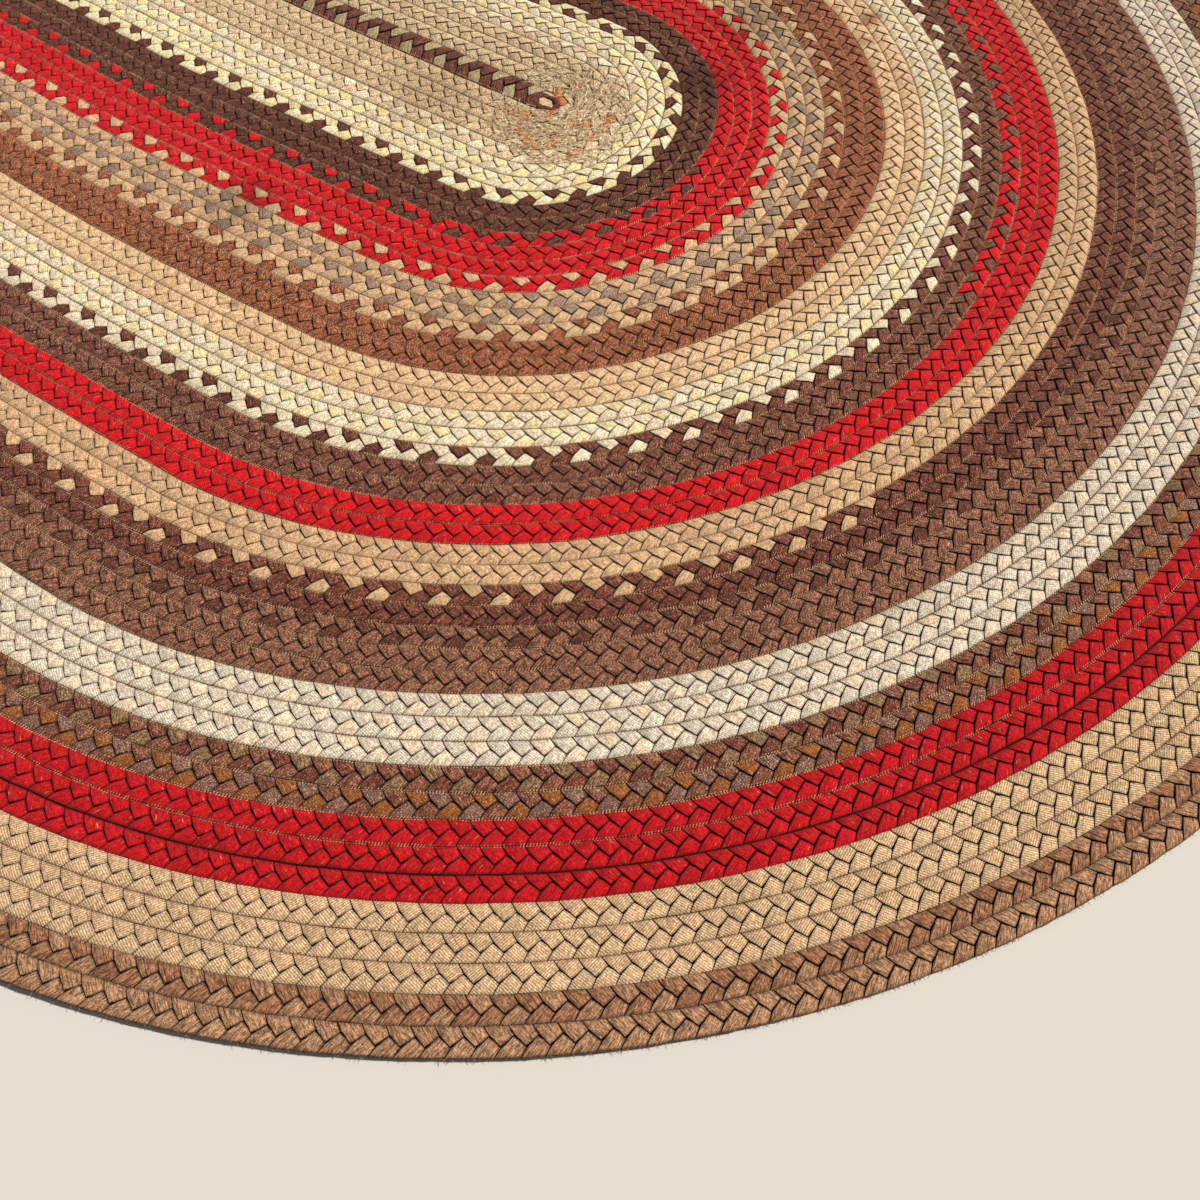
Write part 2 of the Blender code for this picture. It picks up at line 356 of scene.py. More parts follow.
# Each cloth: base colour, colour of its flecks, kind of cloth
CLOTHS = {
    "brushed_tobacco_flannel": ("#977155", "#BCA483", "brushed"),
    "walnut_flannel": ("#8A6047", "#AD8A66", "brushed"),
    "camel_twill": ("#D2B18B", "#CD996A", "twill"),
    "scarlet_melton": ("#BE151D", "#D0564A", "melton"),
    "crimson_melton": ("#B0131B", "#C24038", "melton"),
    "mustard_tweed": ("#834C2A", "#B98650", "tweed"),
    "pepper_tweed": ("#745043", "#C2AA96", "tweed"),
    "cocoa_flannel": ("#744736", "#BC8E74", "napped"),
    "moss_brown_flannel": ("#7B5D45", "#9F8564", "napped"),
    "cream_twill": ("#D0C3AF", "#C9B79C", "soft twill"),
    "peach_flannel": ("#D3BFA6", "#CDB394", "flannel"),
    "chestnut_melton": ("#79503D", "#BC947C", "napped"),
    "maroon_melton": ("#5E3328", "#AE7E6C", "napped"),
    "russet_melton": ("#67392B", "#B98670", "napped"),
    "sand_flannel": ("#C19E7A", "#A57850", "flannel"),
    "dark_russet_flannel": ("#6B4333", "#BC8E74", "napped"),
    "yellow_cream_flannel": ("#D9C599", "#B79C6D", "flannel"),
    "peach_tan_flannel": ("#D0AE88", "#B0855D", "flannel"),
    "rust_flannel": ("#864E36", "#C8966A", "napped"),
    "grey_sand_tweed": ("#997D6B", "#816655", "tweed"),
    "oat_tweed": ("#D1B690", "#94765A", "tweed"),
    "dull_oat_tweed": ("#B39B78", "#8F7458", "tweed"),
    "grey_oat_tweed": ("#CCB38E", "#8F7458", "tweed"),
    "umber_melton": ("#562F23", "#A07862", "napped"),
    "ivory_flannel": ("#D5C4A9", "#B19B80", "flannel"),
    "straw_flannel": ("#D9C796", "#BFA678", "flannel"),
    "pale_cream_flannel": ("#DFD1B0", "#C9B58F", "flannel"),
    "pale_yellow_flannel": ("#DDCA96", "#E4D6AC", "flannel"),
    "greyed_ivory_tweed": ("#DECCAF", "#B8A488", "tweed"),
    "grey_tan_tweed": ("#D7BD9B", "#927A5E", "tweed"),
}
CLOTH_NAMES = list(CLOTHS)

# Where the strands' cloths change: lap, place along it, and the cloth of each strand from there on
BRAID_PLAN = (
    (0, LAP_START, "maroon_melton", "maroon_melton", "dull_oat_tweed"),
    (1, LAP_START, "oat_tweed", "grey_oat_tweed", "oat_tweed"),
    (4, LAP_START, "pale_cream_flannel", "grey_tan_tweed", "grey_tan_tweed"),
    (5, LAP_START, "pale_cream_flannel", "greyed_ivory_tweed", "pale_yellow_flannel"),
    (7, LAP_START, "pale_cream_flannel", "umber_melton", "straw_flannel"),
    (8, LAP_START, "umber_melton", "umber_melton", "umber_melton"),
    (10, LAP_START, "umber_melton", "scarlet_melton", "umber_melton"),
    (10, -1, "scarlet_melton", "scarlet_melton", "umber_melton"),
    (10, 92, "scarlet_melton", "scarlet_melton", "scarlet_melton"),
    (13, LAP_START, "scarlet_melton", "sand_flannel", "scarlet_melton"),
    (13, 97.5, "sand_flannel", "sand_flannel", "scarlet_melton"),
    (14, LAP_START, "sand_flannel", "grey_sand_tweed", "sand_flannel"),
    (16, LAP_START, "sand_flannel", "rust_flannel", "sand_flannel"),
    (16, 85, "rust_flannel", "rust_flannel", "sand_flannel"),
    (17, LAP_START, "rust_flannel", "rust_flannel", "rust_flannel"),
    (19, LAP_START, "peach_tan_flannel", "peach_tan_flannel", "peach_tan_flannel"),
    (21, LAP_START, "ivory_flannel", "yellow_cream_flannel", "ivory_flannel"),
    (23, LAP_START, "ivory_flannel", "umber_melton", "ivory_flannel"),
    (23, 30, "russet_melton", "dark_russet_flannel", "ivory_flannel"),
    (24, LAP_START, "dark_russet_flannel", "russet_melton", "dark_russet_flannel"),
    (25, 88, "dark_russet_flannel", "scarlet_melton", "scarlet_melton"),
    (26, LAP_START, "scarlet_melton", "scarlet_melton", "scarlet_melton"),
    (28, LAP_START, "sand_flannel", "sand_flannel", "sand_flannel"),
    (30, LAP_START, "russet_melton", "sand_flannel", "russet_melton"),
    (30, 62, "russet_melton", "russet_melton", "russet_melton"),
    (31, LAP_START, "maroon_melton", "maroon_melton", "russet_melton"),
    (32, LAP_START, "chestnut_melton", "umber_melton", "chestnut_melton"),
    (33, LAP_START, "chestnut_melton", "chestnut_melton", "chestnut_melton"),
    (35, LAP_START, "cream_twill", "cream_twill", "peach_flannel"),
    (38, LAP_START, "cocoa_flannel", "moss_brown_flannel", "russet_melton"),
    (39, LAP_START, "mustard_tweed", "cocoa_flannel", "pepper_tweed"),
    (40, LAP_START, "crimson_melton", "crimson_melton", "crimson_melton"),
    (43, LAP_START, "camel_twill", "camel_twill", "camel_twill"),
    (46, LAP_START, "walnut_flannel", "walnut_flannel", "brushed_tobacco_flannel"),
    (47, LAP_START, "brushed_tobacco_flannel", "brushed_tobacco_flannel", "brushed_tobacco_flannel"),
)
STRIP_LOBES = (25, 70)  # a strip of cloth makes from 25 to 69 lobes
STRIP_SPREAD = (0.035, 0.008)  # how far a strip's tint strays in brightness and in pinkness
LOBE_SPREAD = (0.035, 0.006)  # and a single lobe's
LAP_KEY = 1e4  # more than any place, so that a lap and a place make one number in order

# The strands don't change together at a lap's start: each has its own stretch of the -X turn to go, in
# degrees
LATE_BY_STRAND = 19
LATE_BY_LAP = 31
LATEST = 43  # the laps' part of it starts again at this

# The rows are kept in pieces by their main colour: first and last lap
PIECES = {
    "centre_rows": (0, 3),
    "straw_rows": (4, 6),
    "dark_inner_rows": (7, 9),
    "red_inner_rows": (10, 13),
    "sand_inner_rows": (14, 16),
    "rust_rows": (17, 18),
    "peach_rows": (19, 20),
    "cream_inner_rows": (21, 22),
    "dark_middle_rows": (23, 25),
    "red_middle_rows": (26, 27),
    "sand_middle_rows": (28, 29),
    "brown_outer_rows": (30, 34),
    "cream_outer_rows": (35, 37),
    "tweed_rows": (38, 39),
    "red_outer_rows": (40, 42),
    "camel_outer_rows": (43, 45),
    "edge_rows": (46, 48),
}

# The seam outside a lap: how much of the sewing thread shows in it and how dark its groove is painted,
# as painted shade, and the laps that differ
OPEN_SEAM = 41  # this one is also deeper
THREAD_SHOWN = 0.9
THREAD_SHOWN_AT = {
    **dict.fromkeys(range(8), 0.1),
    **{26: 0.5, 27: 0.6, 33: 0.7, 34: 0.6, 40: 0.6, 45: 0.2},
    **dict.fromkeys((41, 42, 46, 47, 48), 0.0),
}
SEAM_SHADE = 0.60
SEAM_SHADE_AT = {**dict.fromkeys(range(8), 0.62), 41: 0.75, 42: 0.12, 45: 0.20, 46: 0.30}
LIGHTER_CREVICE_LAPS = 7  # up to this one the painted shade in the crevices is a little lighter

# The centre row is a looser, fuller braid than the rest, and ends in a loop
CENTRE_LIFT = 1.6 * MM  # how much higher it stands
LOOP_AT = (0.4620, -0.0040)  # the loop's middle, on the plain oval
LOOP_REACH = (21.0 * MM, 13.0 * MM)  # its half length and half width, to the middle of the strand
LOOP_STRAND = (5.4 * MM, 4.4 * MM)  # the strand's half width and half height
LOOP_HEIGHT = 8.6 * MM
LOOP_STEPS = 36
LOOP_SIDES = 10
LOOP_TWISTS = 7
LOOP_TWISTED = 0.16  # depth of the twists, as a share of the strand
LOOP_SWELL = 0.10  # how unevenly full the strand is
LOOP_WAVE = 0.9 * MM  # how much it rises and falls
LOOP_FILLING = 10.2 * MM  # height of the wool pressed into it
FILLING_REACH = (31.0 * MM, 25.5 * MM)  # how far that wool spreads under the rows beside it
FILLING_EDGE = 8.1 * MM  # and its height there


def lobe_table():
    """Every lobe's number, distance along the path, stretch, lap and place.

    The crossings are even before the stretch.
    """
    pitch = CROSSING * ROW
    centre_end = even_walked[path_laps == 0][-1]
    first = -int(centre_end / pitch * (1 / CENTRE_PITCH - 1))
    number = np.arange(first, int(even_walked[-1] / pitch) - 2)
    ends = []
    for at in (number * pitch, (number + 2) * pitch):
        at = np.where(at < centre_end, centre_end - (centre_end - at) * CENTRE_PITCH, at)
        ends.append(np.interp(at, even_walked, walked))
    start, end = ends
    middle = np.searchsorted(walked, (start + end) / 2)
    return number, start, (end - start) / (2 * pitch), path_laps[middle], path_places[middle]


# ---- The lobes ----


def inset_outline(outline, insets):
    """The outline with each stretch moved inward by its own distance."""
    count = len(outline)
    moved = []
    for i in range(count):
        lines = []
        for k in (i - 1, i):
            a, b = np.array(outline[k]), np.array(outline[(k + 1) % count])
            way = (b - a) / np.hypot(*(b - a))
            lines.append((a + np.array([-way[1], way[0]]) * insets[k], way))
        (p, u), (q, w) = lines
        cross = u[0] * w[1] - u[1] * w[0]
        if abs(cross) < NEARLY_STRAIGHT:
            moved.append((p + q) / 2)
            continue
        t = ((q - p)[0] * w[1] - (q - p)[1] * w[0]) / cross
        moved.append(p + u * t)
    return moved


def lobe_outline(own, other):
    """The corners of a lobe of one column, in rows, in the order of the LOBE table."""
    (bend_x, bend_y), (tip_x, tip_y) = own["bend"], other["bend"]
    crest_x, crest_y = other["crest"]
    return (
        (0.0, -0.5),
        (LOBE_LENGTH, -0.5),
        (LOBE_LENGTH + bend_x, bend_y),
        (CROSSING + crest_x, -crest_y),
        (CROSSING + tip_x - TIP_CUT[0], -tip_y - TIP_CUT[1]),
        own["crest"],
        own["bend"],
    )


def lobe_column(name):
    """One named column of the lobe's table, corner by corner."""
    return [row[LOBE_COLUMNS.index(name)] for row in LOBE]


def lobe_shape(name, own, other, mirrored=False, edge=False):
    """One lobe of a column. The inner column's lobes are mirrored. y stays in rows."""
    outline = [(x * ROW, y * ROW) for x, y in lobe_outline(own, other)]
    n = len(LOBE)
    corners = {"foot": range(n), "shoulder": range(n), "crown": CROWN_CORNERS}
    points = []
    for (ring, kept), inset in zip(corners.items(), ("gap", "shoulder inset", "crown inset")):
        moved = inset_outline(outline, [d * MM for d in lobe_column(inset)])
        heights = lobe_column(ring)
        points += [(*moved[k], heights[k] * MM) for k in kept]
    # Painted shade: the foot is painted fully dark, the shoulder by the table's rim, the crown not at all
    rim = [1.0] * n + lobe_column("rim") + [0.0] * len(CROWN_CORNERS)
    faces = [(i, (i + 1) % n, n + (i + 1) % n, n + i) for i in range(n)]
    for c, k in enumerate(CROWN_CORNERS):
        after = (c + 1) % len(CROWN_CORNERS)
        last = CROWN_CORNERS[after] or n
        faces += [(n + i, n + (i + 1) % n, 2 * n + c) for i in range(k, last)]
        faces.append((n + last % n, 2 * n + after, 2 * n + c))
    faces.append(tuple(2 * n + c for c in range(len(CROWN_CORNERS))))
    creased = {frozenset((n + i, n + (i + 1) % n)) for i in range(n)}

    # The pad on the underside
    base = len(points)
    points += [(x, y, PAD_EDGE * MM) for x, y in outline]
    points.append((*np.mean(outline, axis=0), 0.0))
    faces += [(base + (i + 1) % n, base + i, base + n) for i in range(n)]
    # The pad's edge gets painted shade too
    rim += [PAD_EDGE_SHADE] * n + [0.0]

    if edge:
        # The strand's round outer side, where no row follows
        base = len(points)
        for share, pinch in EDGE_STATIONS:
            for y, z in EDGE_PROFILE:
                points.append((share * LOBE_LENGTH * ROW, y * ROW + pinch * MM, (z - pinch / 2) * MM))
                # painted shade towards the side's ends
                rim.append(EDGE_END_SHADE * abs(2 * share - 1) ** 3)
        m = len(EDGE_PROFILE)
        for s in range(len(EDGE_STATIONS) - 1):
            for k in range(base + s * m, base + s * m + m - 1):
                faces.append((k, k + 1, k + m + 1, k + m))
    if mirrored:
        faces = [tuple(reversed(f)) for f in faces]
    made = mesh_object(name, [(x, -y if mirrored else y, z) for x, y, z in points], faces)
    for line in made.data.edges:
        line.use_edge_sharp = frozenset(line.vertices) in creased
    strand = made.data.uv_layers.new(name="strand")
    for loop in made.data.loops:
        x, y, _ = points[loop.vertex_index]
        u = x * math.cos(STRAND_TURN) + y * math.sin(STRAND_TURN)
        v = y * math.cos(STRAND_TURN) - x * math.sin(STRAND_TURN)
        strand.uv[loop.index].vector = (u, v)
    made.data.attributes.new("rim", "FLOAT", "POINT").data.foreach_set("value", rim)
    for vertex in made.data.vertices:
        vertex.co.y /= ROW
    return made


# ---- The tree that lays the lobes ----

LOBES = ("Outer lobe", "Inner lobe", "Edge lobe")
POINT_VALUES = {
    "kind": "INT",
    "cloth": "INT",
    "along": "FLOAT",
    "stretch": "FLOAT",
    "open": "FLOAT",
    "lift": "FLOAT",
    "across": "FLOAT_VECTOR",
}


def plait_tree(cloths):
    """Geometry Nodes: one lobe on each point, bent onto the wound path, with its cloth's material."""
    tree = bpy.data.node_groups.new("plait_on_wound_path", "GeometryNodeTree")
    put = partial(add, tree)
    sockets = {
        "NodeSocketGeometry": ("Geometry",),
        "NodeSocketObject": ("Wound path", *LOBES),
        "NodeSocketFloat": ("Unevenness", "Uneven width", "Open seam depth"),
    }
    for kind, socket_names in sockets.items():
        for name in socket_names:
            tree.interface.new_socket(name, in_out="INPUT", socket_type=kind)
    tree.interface.new_socket("Geometry", in_out="OUTPUT", socket_type="NodeSocketGeometry")
    given = put("NodeGroupInput").outputs
    point = {
        name: put("GeometryNodeInputNamedAttribute", {"Name": name}, data_type=kind)
        for name, kind in POINT_VALUES.items()
    }

    # A lobe on every point, by the side of the row it is on
    joined = put("GeometryNodeJoinGeometry")
    for kind, name in enumerate(LOBES):
        shape = put("GeometryNodeObjectInfo", {"Object": given[name]}, transform_space="ORIGINAL")
        here = put(SAME, {2: point["kind"], 3: kind})
        inputs = {"Points": given["Geometry"], "Selection": here, "Instance": shape.outputs["Geometry"]}
        laid = put("GeometryNodeInstanceOnPoints", inputs)
        tree.links.new(laid.outputs[0], joined.inputs[0])
    real = put("GeometryNodeRealizeInstances", (joined,))

    # Where each of its points is in the row: distance along, share across, height
    local = put("ShaderNodeSeparateXYZ", (put("GeometryNodeInputPosition"),)).outputs
    along = put(TIMES_PLUS, (local[0], point["stretch"], point["along"]))
    row_at = put(XYZ, (along, local[1], local[2]))
    stored = put(
        "GeometryNodeStoreNamedAttribute",
        {"Geometry": real, "Name": "row_at", "Value": row_at},
        data_type="FLOAT_VECTOR",
        domain="POINT",
    )

    # The row beside the open seam sinks and draws back at its edge, and each lobe has its own lift
    off_middle = put(ABSOLUTE, (local[1],))
    near_edge = put(RANGE, (off_middle, OPEN_SEAM_FROM, 0.5))
    opened = put(TIMES, (near_edge, point["open"]))
    narrowed = put(TIMES_PLUS, (opened, -OPEN_SEAM_IN, 1.0))
    share = put(TIMES, (local[1], narrowed))
    above_foot = put(RANGE, (local[2], *LIFTED))
    lift = put(TIMES, (point["lift"], above_foot))
    lifted = put(PLUS, (local[2], lift))
    sunk = put(TIMES, (opened, given["Open seam depth"]))
    height = put(MINUS, (lifted, sunk))

    # The place on the path
    line = put("GeometryNodeObjectInfo", {"Object": given["Wound path"]}, transform_space="ORIGINAL")
    curve = put("GeometryNodeMeshToCurve", (line.outputs["Geometry"],))
    sample = put(
        "GeometryNodeSampleCurve",
        {"Curves": curve, "Value": point["across"], "Length": along},
        data_type="FLOAT_VECTOR",
        mode="LENGTH",
    ).outputs
    width = put(XYZ, (share, share, share))
    flat = put("ShaderNodeVectorMath operation=MULTIPLY_ADD", (sample["Value"], width, sample["Position"]))
    place = put("ShaderNodeVectorMath operation=ADD", (flat, put(XYZ, {2: height})))

    # The rows' unevenness, which leaves nothing below the floor
    scale = put(OVER, (1.0, given["Uneven width"]))
    noise = put(NOISE, {"Vector": place, "Scale": scale, "Detail": 2.0}).outputs["Color"]
    either_side = put("ShaderNodeVectorMath operation=SUBTRACT", (noise, (0.5, 0.5, 0.5)))
    wander = put("ShaderNodeVectorMath operation=MULTIPLY", (either_side, UNEVEN_WAY))
    reach = put(XYZ, (given["Unevenness"], given["Unevenness"], given["Unevenness"]))
    uneven = put("ShaderNodeVectorMath operation=MULTIPLY_ADD", (wander, reach, place))
    kept = put("ShaderNodeVectorMath operation=MAXIMUM", (uneven, ON_FLOOR))
    shape = put("GeometryNodeSetPosition", {"Geometry": stored, "Position": kept})

    for index, material in cloths.items():
        here = put(SAME, {2: point["cloth"], 3: index})
        shape = put("GeometryNodeSetMaterial", {"Geometry": shape, "Selection": here, "Material": material})
    put("NodeGroupOutput", (shape,))
    return tree


KEPT_COLUMNS = ("tint", "seed", "inner", "thread", "seam", "bare", "lighter_crevices")  # what the materials read


def lay_rows(name, chosen, columns, path_line, lobes, materials):
    """One piece: the lobes of some laps, laid by the tree and made a plain mesh."""
    points = bpy.data.meshes.new(name + "_points")
    points.from_pydata([(0.0, 0.0, 0.0)] * int(chosen.sum()), [], [])
    for key, (values, kind) in columns.items():
        field = "vector" if kind == "FLOAT_VECTOR" else "value"
        stored_as = np.int32 if kind == "INT" else np.float32
        data = points.attributes.new(key, kind, "POINT").data
        data.foreach_set(field, values[chosen].astype(stored_as).ravel())
    holder = new_object(name + "_points", points)
    used = sorted(set(columns["cloth"][0][chosen].tolist()))
    tree = plait_tree({k: materials[k] for k in used})
    modifier = holder.modifiers.new("plait", "NODES")
    modifier.node_group = tree
    values = {
        "Wound path": path_line,
        **dict(zip(LOBES, lobes)),
        "Unevenness": UNEVENNESS,
        "Uneven width": UNEVEN_WIDTH,
        "Open seam depth": OPEN_SEAM_DEPTH,
    }
    for item in tree.interface.items_tree:
        if item.in_out == "INPUT" and item.name in values:
            modifier[item.identifier] = values[item.name]
    graph = bpy.context.evaluated_depsgraph_get()
    laid = holder.evaluated_get(graph)
    mesh = bpy.data.meshes.new_from_object(laid, preserve_all_data_layers=True, depsgraph=graph)
    holder.modifiers.clear()
    bpy.data.objects.remove(holder, do_unlink=True)
    bpy.data.node_groups.remove(tree)
    for key in columns:
        if key not in KEPT_COLUMNS and key in mesh.attributes:
            mesh.attributes.remove(mesh.attributes[key])
    mesh.name = name
    mesh.shade_smooth()
    return new_object(name, mesh)


# ---- Materials ----

# Kinds of wool cloth, by how each is woven and finished, and what that gives the eye. The ribs are drawn
# at 2.2 to 2.6 mm, coarser than most real ones, so that they show in the render. Columns: rib spacing in
# mm, depth of the ribs, of the grain and of the fibres, share of flecks, share of the lobes that show a
# fold, bump
WOVEN = ("Rib", "Ribbed", "Grain", "Fibres", "Flecks", "Folds")
WEAVES = {
    # Flannel, plain woven and lightly raised: soft and even, with its weave just showing
    "flannel": (2.4, 0.22, 0.34, 0.30, 0.25, 0.10, 0.9),
    # Flannel or melton with its nap raised: mottled, with paler fibres lying over the weave
    "napped": (2.4, 0.25, 0.58, 0.56, 0.50, 0.15, 1.0),
    # Flannel brushed one way: long fibres, hardly any weave, and thick enough to show its folds
    "brushed": (2.2, 0.12, 0.34, 0.56, 0.30, 0.60, 1.0),
    # Melton, milled until it is nearly felt: dense and plain
    "melton": (2.2, 0.30, 0.30, 0.34, 0.22, 0.15, 0.8),
    # Twill: clear fine ribs on a smooth cloth
    "twill": (2.5, 0.62, 0.36, 0.28, 0.12, 0.06, 1.0),
    # Soft twill: the same ribs, but shallower
    "soft twill": (2.5, 0.42, 0.36, 0.28, 0.10, 0.06, 1.0),
    # Tweed of mixed yarns: rough and full of flecks
    "tweed": (2.6, 0.35, 0.50, 0.30, 0.60, 0.10, 1.0),
}
# Uneven patterns over the whole rug: size in mm and fineness
PATTERNS = {
    "yarns": (1.6, 2.0),  # drawn coarser than single yarns, so that they show
    "patches": (4.5, 1.0),
    "flecks": (1.4, 1.0),
    "sunk thread": (14, 1.0),
    "specks": (3.0, 1.0),
    "soil": (110, 3.0),
    "ragged stains": (20, 3.0),
}
# Patterns along a strand: size in mm, how many times longer than wide, how far apart the lobes are in it in
# metres, fineness
FIBRE_STREAKS = (1.25, 5.5, 0.37, 2.0)  # drawn coarser than single fibres, so that they show
LINT_SCRATCHES = (1.7, 6.0, 0.61, 0.0)
INNER_COLUMN_TONE = (0.90, 0.88, 0.87, 1.0)  # what the inner column's lobes keep of red, green and blue

# The sewing thread, drawn coarser than its real stitches of about 2.5 mm, so that they show in the render
THREAD_PITCH = 3.4 * MM  # one stitch to the next
THREAD_REACH = 1.9 * MM  # how far it reaches into a row
THREAD_SHARE = 0.42  # of the pitch that the thread covers
THREAD_SOFT = 0.07  # and of the pitch by which its edge fades to either side
THREAD_SLANT = 0.55

# The frayed place at the end of the centre row
WORN_AT = (0.500, -0.012)
WORN_REACH = 0.12
BARE_SHARE = 0.28  # of the lobes there, whose cloth is worn off the filling
BARE_REACH = 0.7  # share of the place's reach within which they are

# Fibres that stand out of the cloth
FIBRE_RADIUS = {"frayed_fibres": 0.42 * MM, "edge_fibres": 0.26 * MM}
FRAYED_FIBRES = 2000
EDGE_FIBRES = 2500
FIBRE_COLOURS = {"frayed_fibres": ("#C6A67B", "#F4E8CC"), "edge_fibres": ("#7E5A40", "#B98B62")}
FIBRE_LENGTH = {"frayed_fibres": (10, 26), "edge_fibres": (2.5, 5.5)}  # shortest and longest, in mm
FIBRE_RISE = {"frayed_fibres": (1.0, 2.8), "edge_fibres": (-1.0, 1.5)}  # height of its arch, in mm
FIBRE_STRAY = {"frayed_fibres": 0.5, "edge_fibres": 0.8}  # spread of the headings, in radians
FRAYED_HEIGHT = 10.6 * MM  # where the ones of the frayed place are rooted
EDGE_HEIGHTS = (2.5, 8.5)  # and the ones of the edge, in mm, which start up to so far inside it
EDGE_DEPTH = 1.2
FIBRE_STATIONS = (0.0, 0.35, 0.72, 1.0)  # shares of a fibre's length
FIBRE_BEND = 1.4  # most that a fibre turns along its length, in radians
FIBRE_TAPER = 0.4  # share of the thickness that is lost over a whole length

# Marks on the rug: place on the plain oval, half width, strength, colour. Wide ones only darken
WIDE_STAIN = 0.05
STAINS = (
    (0.804, 0.451, 0.030, 0.75, "#7A4524"),
    (0.821, 0.401, 0.022, 0.65, "#7A4524"),
    (0.325, -0.575, 0.016, 0.85, "#2E2018"),
    (0.651, 0.175, 0.060, 0.45, "#57452F"),
    (0.637, 0.342, 0.085, 0.40, "#6B6152"),
    (0.204, -0.419, 0.070, 0.40, "#6B6152"),
    (0.300, -0.085, 0.120, 0.32, "#A39A86"),
    (0.491, 0.080, 0.016, 0.55, "#5A5040"),
    (0.514, 0.046, 0.018, 0.60, "#5A5040"),
    (0.533, -0.005, 0.016, 0.50, "#5A5040"),
    (0.515, -0.069, 0.0035, 0.95, "#17130F"),
    (0.519, -0.100, 0.0035, 0.95, "#17130F"),
)


